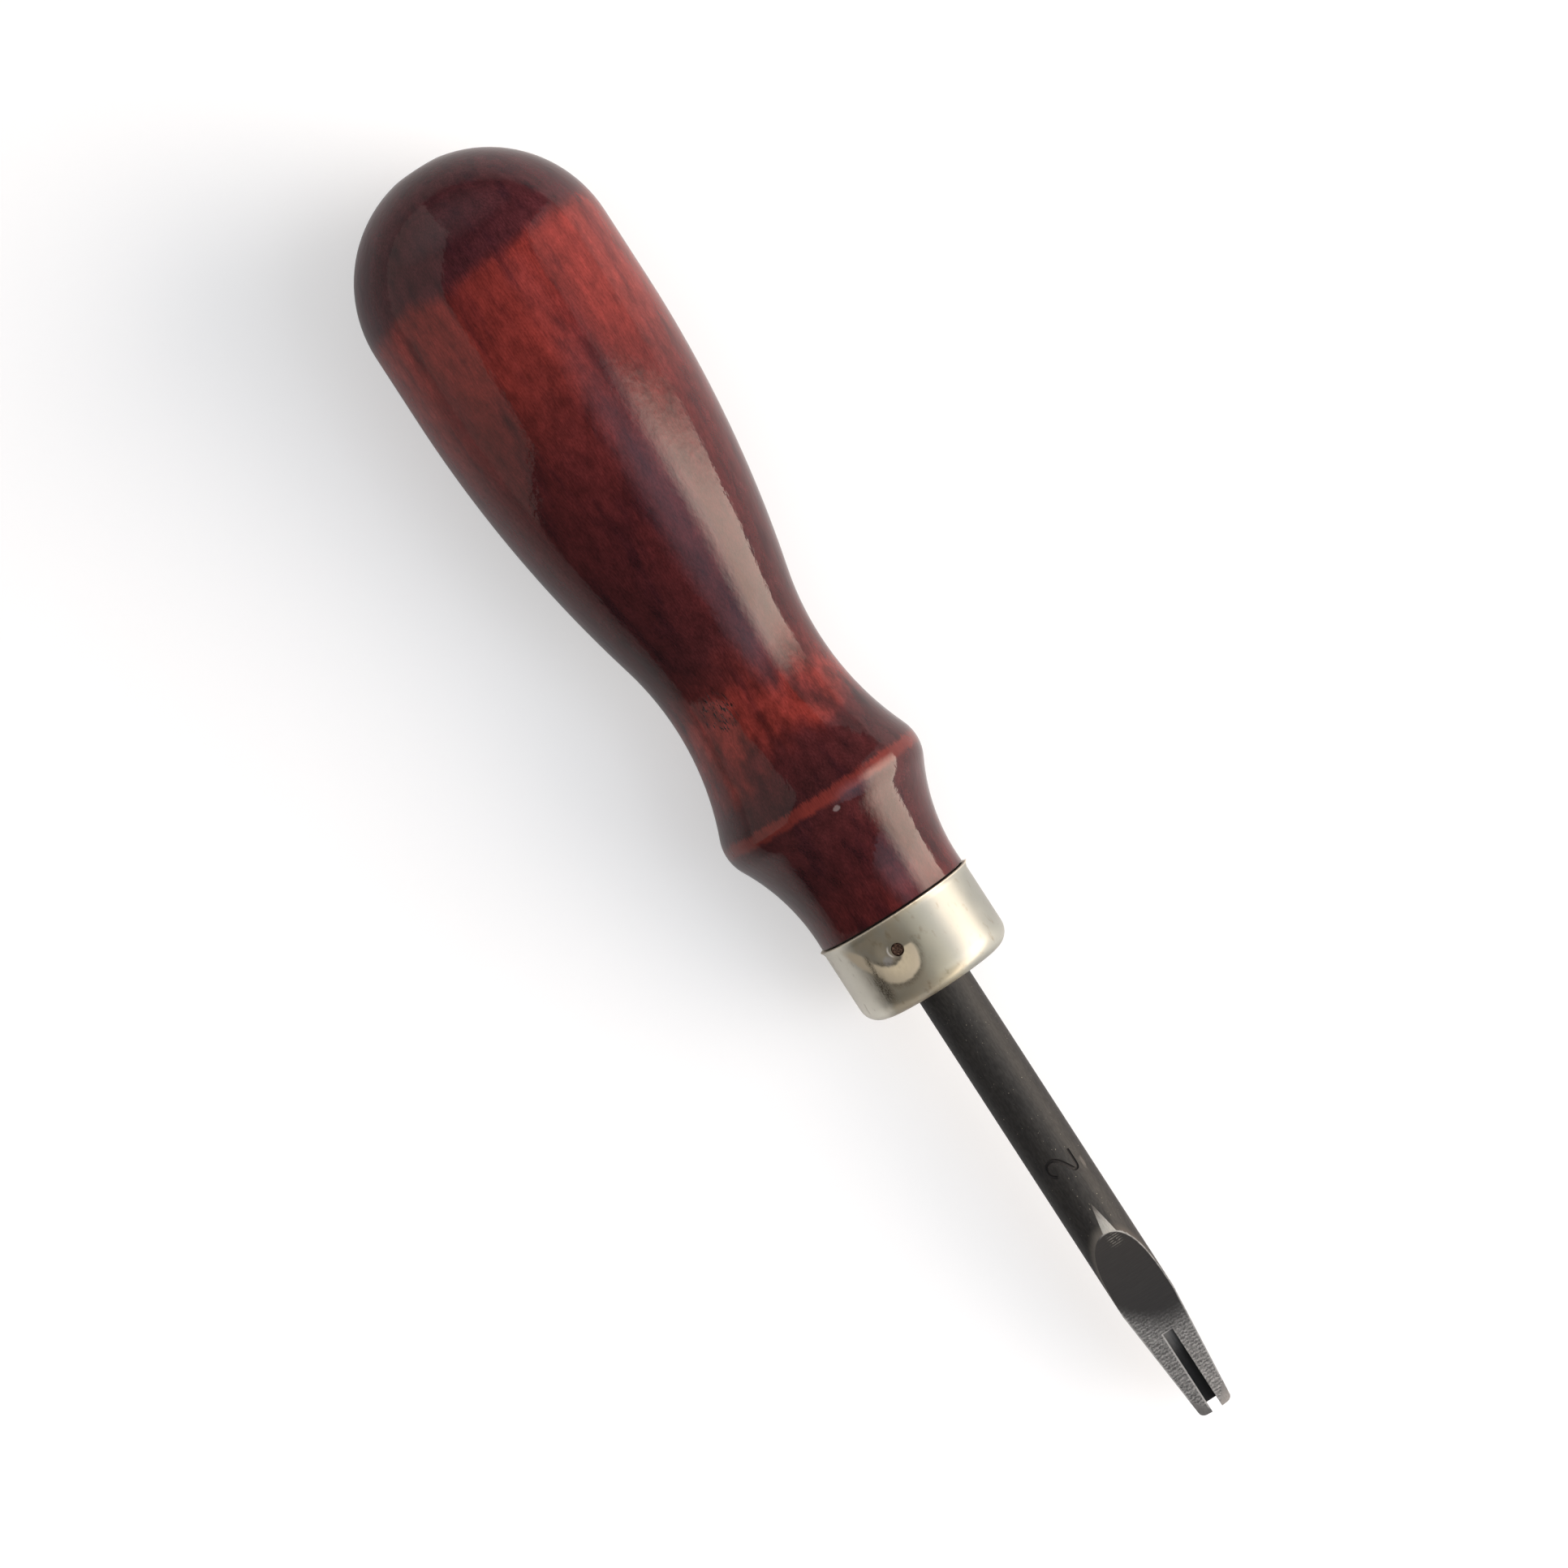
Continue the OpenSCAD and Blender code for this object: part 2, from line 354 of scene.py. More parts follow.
def add(tree, kind, sockets, **settings):
    """Adds a node with its settings and its input sockets."""
    new = tree.nodes.new(kind)
    for name, value in settings.items():
        setattr(new, name, value)
    plug(tree, new, sockets)
    return new


def calc(tree, how, first, second=0.0, third=0.0):
    """The result of a sum."""
    return add(tree, "ShaderNodeMath", {0: first, 1: second, 2: third}, operation=how).outputs[0]


def times(tree, first, *others):
    """Several values multiplied."""
    for other in others:
        first = calc(tree, "MULTIPLY", first, other)
    return first


def most(tree, first, *others):
    """The largest of several values."""
    for other in others:
        first = calc(tree, "MAXIMUM", first, other)
    return first


def swayed(tree, value, *shares):
    """A value with others added to it, each given with the share of it that counts."""
    for other, share in shares:
        value = calc(tree, "MULTIPLY_ADD", other, share, value)
    return value


def distance(tree, first, second):
    """How far away a point is, from how far it lies along two directions."""
    return calc(tree, "SQRT", calc(tree, "MULTIPLY_ADD", first, first, times(tree, second, second)))


def rise(tree, value, low, high, bottom=0.0, top=1.0):
    """Goes smoothly from bottom to top as a value goes from low to high."""
    sockets = {"Value": value, "From Min": low, "From Max": high, "To Min": bottom, "To Max": top}
    return add(tree, "ShaderNodeMapRange", sockets, interpolation_type="SMOOTHSTEP").outputs[0]


def fall(tree, value, low, high, top=1.0):
    """Goes smoothly from top to 0 as a value goes from low to high."""
    return rise(tree, value, low, high, top, 0.0)


def band(tree, value, low, high, soft):
    """1 between low and high and 0 outside, with soft ends."""
    up = rise(tree, value, low - soft, low + soft)
    down = fall(tree, value, high - soft, high + soft)
    return times(tree, up, down)


def blend(tree, share, first, second, how="MIX"):
    """Mixes two colours."""
    mixed = add(tree, "ShaderNodeMix", {0: share, 6: first, 7: second}, data_type="RGBA", blend_type=how)
    return mixed.outputs[2]


def shaded(tree, colour, *factors):
    """A colour multiplied by factors or by other colours."""
    for factor in factors:
        colour = blend(tree, 1.0, colour, factor, "MULTIPLY")
    return colour


def ramp(tree, value, stops):
    """A run of colours, each at its own value."""
    new = add(tree, "ShaderNodeValToRGB", {"Fac": value})
    elements = new.color_ramp.elements
    elements[0].position = stops[0][0]
    elements[0].color = (*stops[0][1], 1)
    elements[1].position = stops[-1][0]
    elements[1].color = (*stops[-1][1], 1)
    for place, colour in stops[1:-1]:
        elements.new(place).color = (*colour, 1)
    return new.outputs["Color"]


def tool_place(tree):
    """A point's place in the tool's own frame, in millimetres."""
    sockets = {
        "Vector": add(tree, "ShaderNodeTexCoord", {}).outputs["Object"],
        "Location": Matrix.Rotation(-lay_angle, 4, "Y") @ (butt_place * -mm_per_m),
        "Rotation": (0, -lay_angle, 0),
        "Scale": (mm_per_m, mm_per_m, mm_per_m),
    }
    return add(tree, "ShaderNodeMapping", sockets).outputs["Vector"]


def measures(tree, place):
    """The three numbers of a place: on the tool its station, how far across it is, and its height."""
    parts = add(tree, "ShaderNodeSeparateXYZ", {0: place}).outputs
    return parts[0], parts[1], parts[2]


def grain(tree, place, size, detail=2.0, shift=0.0):
    """Cloudy grain from 0 to 1, whose grains have a length, a width and a height in millimetres."""
    scale = [1 / length for length in size]
    sockets = {"Vector": place, "Scale": scale, "Location": (shift, shift, shift)}
    mapped = add(tree, "ShaderNodeMapping", sockets)
    sockets = {"Vector": mapped.outputs["Vector"], "Scale": 1.0, "Detail": detail}
    return add(tree, "ShaderNodeTexNoise", sockets).outputs["Fac"]


def oval(tree, s, y, centre, reach):
    """How far out a point lies in an oval seen from above: 0 at its middle and 1 on its edge."""
    side_s = calc(tree, "DIVIDE", calc(tree, "SUBTRACT", s, centre[0]), reach[0])
    side_y = calc(tree, "DIVIDE", calc(tree, "SUBTRACT", y, centre[1]), reach[1])
    return distance(tree, side_s, side_y)


def from_scoop(tree, s, z):
    """How deep a point lies below the round surface of the scoop."""
    side_s = calc(tree, "SUBTRACT", s, scoop_s)
    side_z = calc(tree, "SUBTRACT", z, flat_h - scoop_dip + scoop_r)
    return calc(tree, "SUBTRACT", distance(tree, side_s, side_z), scoop_r)


def relief(tree, shader, height, depth, coat=False):
    """Raises a surface by a height from 0 to 1 times a depth in metres."""
    bump = add(tree, "ShaderNodeBump", {"Height": height, "Distance": depth, "Strength": 1.0})
    tree.links.new(bump.outputs["Normal"], shader.inputs["Normal"])
    if coat:
        tree.links.new(bump.outputs["Normal"], shader.inputs["Coat Normal"])


def new_finish(name):
    """A new material with its node tree and its shader."""
    finish = bpy.data.materials.new(name)
    finish.use_nodes = True
    return finish, finish.node_tree, finish.node_tree.nodes["Principled BSDF"]


# Finishes

# The tint of what blackened steel mirrors
steel_glint = (0.90, 0.98, 1.0, 1)


def stained_hardwood():
    """Red-brown stain, darker on end grain and in the hollows, under gloss lacquer."""
    end_grain_red = (0.085, 0.022, 0.026, 1)
    end_grain_brown = (0.052, 0.012, 0.015, 1)
    streak_tint = (0.60, 0.62, 0.74, 1)
    pore_black = (0.012, 0.003, 0.003, 1)
    chip_grey = (0.17, 0.13, 0.13, 1)
    shoulder_black = (0.008, 0.004, 0.003, 1)
    finish, tree, shader = new_finish("stained_hardwood")
    place = tool_place(tree)
    s, y, z = measures(tree, place)
    upper = rise(tree, z, 0.0, 1.0)
    cloud = grain(tree, place, (8, 5, 5), 2.0)
    smudge = grain(tree, place, (2.6, 1.5, 1.5), 4.0, 7.0)
    mottle = grain(tree, place, (2.2, 1.3, 1.3), 4.0, 15.0)
    fibre = grain(tree, place, (1.1, 0.12, 0.12), 3.0, 3.0)
    speckle = grain(tree, place, (0.3, 0.2, 0.2), 2.0, 5.0)

    # Stain along the handle, its zones blurred by the way the wood soaks it up; the number at the
    # start centres the blur
    along = swayed(tree, -6.2, (cloud, 7.0), (smudge, 4.0), (fibre, 1.4), (s, 1.0))
    by_waist = band(tree, s, light_from_s, light_to_s, 2)
    squeeze = times(tree, rise(tree, y, -6.0, 6.0, -0.5, 0.45), by_waist)
    along = swayed(tree, along, (calc(tree, "SUBTRACT", s, light_mid_s), squeeze))
    stain = ramp(tree, calc(tree, "DIVIDE", along, stain_ramp_l), [
        (0.10, (0.158, 0.022, 0.018)), (0.22, (0.150, 0.021, 0.017)), (0.27, (0.105, 0.016, 0.014)),
        (0.33, (0.075, 0.012, 0.012)), (0.42, (0.052, 0.009, 0.010)), (0.55, (0.044, 0.009, 0.010)),
        (0.60, (0.078, 0.013, 0.012)), (0.625, (0.140, 0.020, 0.016)), (0.66, (0.135, 0.019, 0.015)),
        (0.69, (0.058, 0.011, 0.012)), (0.72, (0.048, 0.011, 0.012)), (0.82, (0.042, 0.008, 0.009)),
        (0.86, (0.075, 0.012, 0.012)),
    ])
    bulge = band(tree, y, -4.5, 5.0, 3.0)
    butt = swayed(tree, s, (y, 0.08), (smudge, 1.4), (fibre, 0.8), (cloud, 2.0), (bulge, -0.8))
    end_grain = blend(tree, rise(tree, s, 1.5, 8.0), end_grain_red, end_grain_brown)
    stain = blend(tree, fall(tree, butt, 12.7, 14.9), stain, end_grain)

    # Mottles, strongest where the waist is rubbed light, then fibres, specks and painted light on the
    # two sides
    waist = band(tree, s, waist_s - 1.5, waist_s + 7.5, 2.0)
    patchy = swayed(tree, 1.4, (waist, 1.2))
    patchy = swayed(tree, 1.0, (calc(tree, "SUBTRACT", mottle, 0.5), patchy))
    colour = shaded(
        tree, stain, patchy,
        rise(tree, fibre, 0.3, 0.7, 0.82, 1.18), rise(tree, speckle, 0.3, 0.7, 0.88, 1.12),
        # Painted light: lighter towards the right, where the light falls, and lifted at the far left
        # edge
        rise(tree, y, 3.0, 10.0, 1.0, 1.14), rise(tree, y, -12.0, -7.0, 1.4, 1.0),
        swayed(tree, 1.0, (by_waist, fall(tree, y, -5.0, -1.5, 0.3)))
    )

    # Dark streaks, and a dark patch on each side of the bulb
    streak = rise(tree, grain(tree, place, (9, 1.7, 1.7), 3.0, 11.0), 0.50, 0.72)
    heart = swayed(tree, y, (smudge, 3.0))
    heart = times(tree, band(tree, heart, 5.4, 7.6, 1.1), band(tree, s, 19, 31, 4))
    shade = swayed(tree, oval(tree, s, y, shade_spot, (6.5, 2.2)), (smudge, 0.9))
    shade = times(tree, fall(tree, shade, 0.6, 1.4, 0.8), band(tree, s, 15, 31, 3))
    streak = most(tree, streak, times(tree, most(tree, heart, shade), upper))
    colour = blend(tree, streak, colour, shaded(tree, colour, streak_tint))

    # The crest of the ridge, rubbed through to lighter wood
    crest = swayed(tree, s, (fibre, 0.9), (mottle, 1.1))
    crest = band(tree, crest, ridge_s + 0.1, ridge_s + 1.45, 0.28)
    crest = times(tree, crest, rise(tree, cloud, 0.3, 0.65, 0.55, 0.95))
    pale = blend(tree, fibre, (0.100, 0.017, 0.014, 1), (0.240, 0.038, 0.028, 1))
    colour = blend(tree, crest, colour, pale)

    # Open pores at the waist, a chip in the lacquer beside the ridge and a dark band where the wood
    # meets the ferrule
    pore = grain(tree, place, (0.75, 0.16, 0.3), 2.0, 17.0)
    torn = fall(tree, oval(tree, s, y, pore_spot, (2.4, 1.9)), 0.7, 1.1)
    torn = times(tree, torn, upper, rise(tree, pore, 0.54, 0.62))
    colour = blend(tree, torn, colour, pore_black)
    chip = swayed(tree, oval(tree, s, y, chip_spot, (0.30, 0.42)), (speckle, 0.9))
    chip = times(tree, fall(tree, chip, 1.0, 1.6, 0.7), upper)
    colour = blend(tree, chip, colour, chip_grey)
    shoulder_dark = swayed(tree, s, (fibre, 0.25))
    shoulder_dark = rise(tree, shoulder_dark, shoulder_s - 0.06, shoulder_s + 0.08)
    colour = blend(tree, shoulder_dark, colour, shoulder_black)

    plug(tree, shader, {
        "Base Color": colour, "Roughness": 0.6, "Specular IOR Level": 0.0,
        "Coat Weight": 1.0, "Coat Roughness": 0.05, "Coat IOR": 1.46,
    })
    peel = grain(tree, place, (1.0, 0.6, 0.6), 3.0)
    ripple = grain(tree, place, (5, 3.5, 3.5), 1.0, 9.0)
    height = swayed(tree, peel, (fibre, 0.08), (ripple, 1.5), (torn, -1.2), (chip, -2.0))
    relief(tree, shader, height, 0.000020, True)
    return finish


def nickel_plate():
    """Satin nickel, tarnished brown on top, with painted light and shade and a painted crescent beside
    the brad.
    """
    painted_flank_pale = (0.74, 0.725, 0.635, 1)
    tarnish_and_shade_brown = (0.335, 0.298, 0.222, 1)
    golden_sheen_grey = (0.43, 0.41, 0.315, 1)
    rim_bright = (0.74, 0.68, 0.56, 1)
    stain_brown = (0.19, 0.15, 0.09, 1)
    cream_edge = (0.52, 0.45, 0.33, 1)
    dull_grey = (0.40, 0.385, 0.36, 1)
    glint_white = (0.86, 0.83, 0.76, 1)
    soot_and_shade_black = (0.055, 0.043, 0.026, 1)
    finish, tree, shader = new_finish("nickel_plate")
    place = tool_place(tree)
    s, y, z = measures(tree, place)
    upper = rise(tree, z, 0.0, 1.0)
    cloud = grain(tree, place, (2.2, 1.6, 1.6), 4.0)
    fine = grain(tree, place, (0.5, 0.3, 0.3), 4.0, 3.0)
    speckle = grain(tree, place, (0.14, 0.14, 0.14), 2.0, 5.0)
    hatch = grain(tree, place, (0.6, 0.07, 0.07), 3.0, 8.0)
    waver = swayed(tree, -0.4, (cloud, 0.5), (fine, 0.3))
    across = calc(tree, "ADD", y, waver)
    dent_y = -ferrule_r * math.sin(dent_turn)

    def beside_brad(along, aside, radius):
        """How far out a point lies in a circle beside the brad."""
        return oval(tree, s, y, (dent_s + along, dent_y + aside), (radius, radius))

    def outside(along, aside, radius):
        """How far a point lies outside a circle beside the brad, with a ragged edge."""
        away = beside_brad(along, aside, 1.0)
        return calc(tree, "ADD", calc(tree, "SUBTRACT", away, radius), waver)

    # Nickel: brown on top, deepened as painted shade; painted light on the left flank, golden right of
    # the middle
    brown = times(tree, rise(tree, y, -7.0, -5.0), fall(tree, y, -1.6, 2.6))
    brown = times(tree, brown, rise(tree, cloud, 0.25, 0.6, 0.6, 1.0))
    plate = blend(tree, cloud, (0.304, 0.314, 0.285, 1), (0.358, 0.370, 0.337, 1))
    flank = fall(tree, swayed(tree, y, (cloud, 1.6)), -5.8, -4.2)
    plate = blend(tree, flank, plate, painted_flank_pale)
    colour = blend(tree, brown, plate, tarnish_and_shade_brown)
    golden_sheen = band(tree, across, -0.4, 2.4, 1.2)
    golden_sheen = times(tree, golden_sheen, rise(tree, s, rim_s, ferrule_end_s, 0.55, 0.95), upper)
    colour = blend(tree, golden_sheen, colour, golden_sheen_grey)
    # Painted light towards the corner, and painted shade on the round of the closed end
    corner_light = rise(tree, s, corner_light_from_s, corner_light_to_s, 1.0, 1.12)
    colour = shaded(tree, colour, corner_light, rise(tree, s, corner_shade_from_s, corner_shade_to_s, 1.0, 0.72))
    # Bright at the rim
    rim = fall(tree, swayed(tree, s, (fine, 0.2)), rim_s + 0.14, rim_s + 0.34, 0.9)
    colour = blend(tree, rim, colour, rim_bright)
    stain = rise(tree, grain(tree, place, (1.3, 0.7, 0.7), 5.0, 21.0), 0.58, 0.78, 0.0, 0.5)
    colour = blend(tree, stain, colour, stain_brown)

    # The crescent beside the dimple, a painted reflection of the dent, and a slanting cream patch on the
    # left
    crescent_edge = outside(0.75, -0.65, 2.5)
    dimple_edge = outside(-0.55, -1.0, 1.6)
    pale_zone = times(tree, fall(tree, crescent_edge, -0.3, 0.12), rise(tree, dimple_edge, -0.1, 0.3))
    pale_zone = times(tree, pale_zone, rise(tree, s, dent_s - 0.1, dent_s + 0.2))
    slant = swayed(tree, s, (calc(tree, "SUBTRACT", y, dent_y), -1.5))
    patch = oval(tree, slant, y, (dent_s + 4.75, dent_y - 3.6), (1.3, 1.35))
    patch = fall(tree, calc(tree, "ADD", patch, waver), 0.5, 1.05)
    pale_zone = times(tree, most(tree, pale_zone, patch), upper)
    cream = blend(tree, fine, (0.52, 0.447, 0.305, 1), (0.72, 0.622, 0.445, 1))
    cream = blend(tree, rise(tree, crescent_edge, -1.6, 0.0), cream, cream_edge)
    colour = blend(tree, pale_zone, colour, cream)
    dull = times(tree, fall(tree, beside_brad(0.5, -1.35, 0.62), 0.4, 1.1, 0.8), upper)
    colour = blend(tree, dull, colour, dull_grey)
    # A painted highlight: a bright arc hugging the pit's lower edge
    glint = band(tree, beside_brad(-0.12, -0.2, 1.0), 0.62, 0.76, 0.1)
    glint = times(tree, glint, fall(tree, y, dent_y - 0.85, dent_y - 0.5), upper)
    colour = blend(tree, glint, colour, glint_white)

    # Soot: a broken line round the crescent, a smear on its left with a tail; painted shade: a line in
    # the dimple
    ring = times(tree, rise(tree, crescent_edge, -0.05, 0.1), fall(tree, crescent_edge, 0.1, 0.7, 0.45))
    ring = times(tree, ring, rise(tree, s, dent_s - 0.9, dent_s + 0.4))
    ring = times(tree, ring, rise(tree, cloud, 0.35, 0.6, 0.25, 1.0))
    smear = band(tree, across, dent_y - 3.75, dent_y - 2.6, 0.45)
    smear = times(tree, smear, band(tree, s, dent_s + 1.2, dent_s + 4.1, 0.9))
    tail = band(tree, across, dent_y - 3.3, dent_y - 2.9, 0.2)
    tail = times(tree, tail, band(tree, s, dent_s - 0.9, dent_s + 1.6, 0.5))
    dimple_shade = times(tree, rise(tree, dimple_edge, -0.5, -0.1), fall(tree, dimple_edge, -0.1, 0.15, 0.6))
    dimple_shade = times(tree, dimple_shade, rise(tree, s, dent_s - 0.5, dent_s + 0.3))
    soot_and_shade = times(tree, most(tree, ring, smear, tail, dimple_shade), upper)
    soot_and_shade = times(tree, soot_and_shade, rise(tree, hatch, 0.3, 0.62, 0.3, 1.0))
    soot_and_shade = times(tree, soot_and_shade, rise(tree, speckle, 0.3, 0.6, 0.45, 1.0))
    colour = blend(tree, soot_and_shade, colour, soot_and_shade_black)

    plug(tree, shader, {
        "Base Color": colour, "Metallic": rise(tree, pale_zone, 0.0, 1.0, 0.62, 0.12),
        "Roughness": rise(tree, cloud, 0.3, 0.7, 0.33, 0.40), "Specular IOR Level": 0.3,
    })
    relief(tree, shader, calc(tree, "ADD", speckle, fine), 0.000003)
    return finish


def rusty_steel():
    """Dull brown rust with lighter specks."""
    finish, tree, shader = new_finish("rusty_steel")
    speckle = grain(tree, tool_place(tree), (0.22, 0.22, 0.22), 4.0)
    colour = ramp(tree, speckle, [
        (0.35, (0.030, 0.016, 0.010)), (0.52, (0.085, 0.045, 0.028)), (0.66, (0.26, 0.17, 0.12)),
    ])
    plug(tree, shader, {"Base Color": colour, "Metallic": 0.4, "Roughness": 0.6})
    relief(tree, shader, speckle, 0.00006)
    return finish


def black_oxide():
    """Matt black oxide on round steel, browned in patches and worn off round the scoop."""
    highlight_line_grey = (0.20, 0.195, 0.185, 1)
    digit_patch_grey = (0.11, 0.10, 0.09, 1)
    speck_brown = (0.20, 0.18, 0.14, 1)
    finish, tree, shader = new_finish("black_oxide")
    place = tool_place(tree)
    s, y, z = measures(tree, place)
    cloud = grain(tree, place, (3.5, 1.0, 1.0), 4.0)
    fine = grain(tree, place, (0.6, 0.22, 0.22), 4.0, 2.0)
    speck = grain(tree, place, (0.24, 0.18, 0.18), 1.0, 4.0)
    colour = blend(tree, cloud, (0.019, 0.0185, 0.019, 1), (0.034, 0.031, 0.028, 1))
    colour = shaded(tree, colour, rise(tree, fine, 0.3, 0.7, 0.80, 1.22))

    # A worn band round the scoop, wider on its left, and a painted highlight: a bright line on its right
    deep = swayed(tree, from_scoop(tree, s, z), (fine, 0.3))
    by_scoop = band(tree, s, wear_from_s, wear_to_s, 1)
    right = rise(tree, y, -1.0, 0.6)
    pale_zone = calc(tree, "DIVIDE", deep, rise(tree, y, -1.0, 0.6, 0.85, 0.75))
    pale_zone = times(tree, fall(tree, pale_zone, 0.15, 1.0), by_scoop)
    bare = blend(tree, right, (0.130, 0.120, 0.105, 1), (0.058, 0.049, 0.042, 1))
    colour = blend(tree, pale_zone, colour, bare)
    bright = times(tree, fall(tree, deep, 0.12, 0.2), by_scoop, right)
    colour = blend(tree, bright, colour, highlight_line_grey)

    # A lighter patch beside the size number, and specks all over
    digit_patch = swayed(tree, oval(tree, s, y, (digit_s + 0.9, 2.1), (0.9, 0.22)), (fine, -1.2))
    digit_patch = times(tree, fall(tree, digit_patch, -0.3, 0.4, 0.6), rise(tree, z, 0.0, 1.0))
    colour = blend(tree, digit_patch, colour, digit_patch_grey)
    colour = blend(tree, rise(tree, speck, 0.74, 0.80), colour, speck_brown)
    plug(tree, shader, {
        "Base Color": colour, "Roughness": 0.5, "Specular IOR Level": 0.22, "Specular Tint": steel_glint,
    })
    relief(tree, shader, fine, 0.000014)
    return finish


def stamped_oxide():
    """Black in the grooves of the size number."""
    finish, tree, shader = new_finish("stamped_oxide")
    fine = grain(tree, tool_place(tree), (0.15, 0.15, 0.15), 3.0)
    colour = blend(tree, fine, (0.007, 0.007, 0.007, 1), (0.022, 0.020, 0.019, 1))
    plug(tree, shader, {"Base Color": colour, "Roughness": 0.6, "Specular IOR Level": 0.4})
    return finish


def milled_steel():
    """The slot: bare at its closed end and black towards the cutting edge, streaked along its length."""
    bare_grey = (0.115, 0.115, 0.115, 1)
    finish, tree, shader = new_finish("milled_steel")
    place = tool_place(tree)
    s = measures(tree, place)[0]
    drawn = grain(tree, place, (2.5, 0.12, 0.12), 3.0)
    bare = fall(tree, swayed(tree, s, (drawn, 2.0)), slot_s + 0.6, slot_s + 4.2)
    black = blend(tree, drawn, (0.011, 0.011, 0.011, 1), (0.027, 0.027, 0.027, 1))
    colour = blend(tree, bare, black, bare_grey)
    plug(tree, shader, {"Base Color": colour, "Roughness": 0.5, "Specular IOR Level": 0.4})
    return finish


def ground_steel():
    """Blackened scoop that runs out into a grey flat with ribs from the grinding wheel."""
    tick_grey = (0.30, 0.29, 0.26, 1)
    edge_highlight_grey = (0.38, 0.38, 0.37, 1)
    finish, tree, shader = new_finish("ground_steel")
    place = tool_place(tree)
    s, y, z = measures(tree, place)
    fine = grain(tree, place, (0.17, 0.2, 0.2), 3.0)
    brushed = grain(tree, place, (0.09, 1.8, 1.8), 2.0, 6.0)
    waver = grain(tree, place, (0.4, 0.3, 0.3), 3.0, 9.0)
    broken = grain(tree, place, (0.35, 0.4, 0.4), 2.0, 13.0)

    def wave(sway, pitch):
        """A wave along the tool that wavers."""
        return calc(tree, "SINE", times(tree, swayed(tree, s, (waver, sway)), math.tau / pitch))

    # The grey with its broken ribs starts further back on the left
    start = swayed(tree, grey_from_s, (y, swayed(tree, 0.5, (y, -0.15))))
    bare = rise(tree, calc(tree, "SUBTRACT", swayed(tree, s, (waver, 1.2)), start), -0.3, 3.5)
    rib = times(tree, wave(0.6, rib_pitch), rise(tree, broken, 0.32, 0.58, 0.25, 1.0))
    rib = swayed(tree, 0.5, (rib, 0.5))
    grey = blend(tree, rib, (0.086, 0.086, 0.087, 1), (0.234, 0.235, 0.231, 1))
    grey = shaded(tree, grey, rise(tree, fine, 0.32, 0.68, 0.65, 1.35))

    # The black has a few short ticks below the lip of the scoop
    dark = blend(tree, brushed, (0.020, 0.0195, 0.020, 1), (0.033, 0.032, 0.0325, 1))
    tick = times(tree, rise(tree, wave(0.1, tick_pitch), 0.2, 0.9), rise(tree, broken, 0.38, 0.55))
    tick = times(tree, tick, band(tree, s, tick_from_s, tick_to_s, 0.4))
    tick = times(tree, tick, band(tree, y, 0.0, 1.1, 0.35), fine)
    dark = blend(tree, tick, dark, tick_grey)
    colour = blend(tree, bare, dark, grey)

    # Painted highlights on the edges: along the round shank, more on its right, the two flanks and the
    # slot
    round_edge = rise(tree, distance(tree, y, z), shank_r - 0.13, shank_r - 0.05)
    round_edge = times(tree, round_edge, rise(tree, y, -1.0, 0.6))
    aside = calc(tree, "ABSOLUTE", y)
    flank = swayed(tree, fork_w / 2 + fork_slope * tip_s, (s, -fork_slope))
    flank_edge = fall(tree, calc(tree, "SUBTRACT", flank, aside), 0.07, 0.17)
    slot_edge = fall(tree, aside, slot_w / 2 + 0.10, slot_w / 2 + 0.22)
    slot_edge = times(tree, slot_edge, rise(tree, s, slot_s - 0.12, slot_s - 0.04))
    slot_edge = times(tree, slot_edge, rise(tree, y, -0.3, 0.3, 1.0, 0.2))
    edge = most(tree, round_edge, flank_edge, slot_edge)
    edge = times(tree, edge, rise(tree, waver, 0.3, 0.6, 0.45, 0.95))
    colour = blend(tree, edge, colour, edge_highlight_grey)
    plug(tree, shader, {
        "Base Color": colour, "Metallic": 0.15, "Roughness": 0.5,
        "Specular IOR Level": 0.25, "Specular Tint": steel_glint,
    })
    relief(tree, shader, times(tree, calc(tree, "ADD", rib, fine), bare), 0.000008)
    return finish


def rubbed_and_sheen_steel():
    """The facet behind the scoop: black at its point and rubbed bright at the lip, the brightening
    partly a painted highlight.
    """
    point_black = (0.075, 0.068, 0.060, 1)
    finish, tree, shader = new_finish("rubbed_and_sheen_steel")
    place = tool_place(tree)
    s = measures(tree, place)[0]
    fine = grain(tree, place, (0.5, 0.12, 0.12), 3.0)
    # Partly a painted highlight: brighter towards the lip
    bright = rise(tree, swayed(tree, s, (fine, 0.8)), facet_s + 0.7, facet_s + 3.4)
    shine = blend(tree, fine, (0.24, 0.24, 0.22, 1), (0.42, 0.42, 0.39, 1))
    colour = blend(tree, bright, point_black, shine)
    plug(tree, shader, {"Base Color": colour, "Metallic": 0.4, "Roughness": 0.45})
    return finish


def honed_steel():
    """Grey steel on the bevels of the toes."""
    finish, tree, shader = new_finish("honed_steel")
    fine = grain(tree, tool_place(tree), (0.4, 0.12, 0.12), 3.0)
    colour = blend(tree, fine, (0.11, 0.11, 0.11, 1), (0.24, 0.24, 0.235, 1))
    plug(tree, shader, {
        "Base Color": colour, "Metallic": 0.3, "Roughness": 0.5, "Specular IOR Level": 0.3,
    })
    return finish


wood = stained_hardwood()
nickel = nickel_plate()
rust = rusty_steel()
oxide = black_oxide()
ground = ground_steel()
rubbed_and_sheen = rubbed_and_sheen_steel()
honed = honed_steel()
stamped = stamped_oxide()
milled = milled_steel()


# Handle

